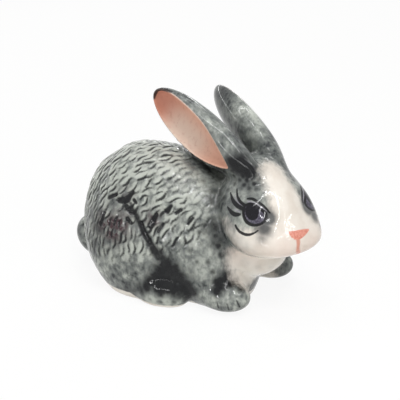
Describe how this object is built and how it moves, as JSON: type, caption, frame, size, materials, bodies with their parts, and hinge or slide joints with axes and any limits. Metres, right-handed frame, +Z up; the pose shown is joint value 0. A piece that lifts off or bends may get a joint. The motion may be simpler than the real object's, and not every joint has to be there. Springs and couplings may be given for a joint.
{
  "type": "rabbit figurine",
  "caption": "Small glazed porcelain figurine of a crouching rabbit, its head turned to its right, with grey-green painted fur and a white face",
  "frame": {"origin": "on the ground below the middle of the torso", "axes": "+X ahead, towards the chest; +Y to the rabbit's left; +Z up"},
  "size_m": [0.07, 0.0431, 0.0526],
  "materials": {
    "coat": "hand-painted grey-green coat with dark fur dashes under a clear gloss glaze",
    "face": "white and cream with grey cheeks, painted eyes and a salmon nose, under a clear gloss glaze",
    "ear": "grey outside and salmon pink inside, under a clear gloss glaze",
    "dark_foot": "brushed blue-black with white toes, under a clear gloss glaze"
  },
  "bodies": {
    "root": {"torso": "coat", "head": "face", "right_ear": "ear", "left_ear": "ear", "tail": "coat", "right_foreleg": "coat", "left_foreleg": "coat", "right_hind_foot": "dark_foot", "left_hind_foot": "dark_foot"}
  },
  "joints": []
}
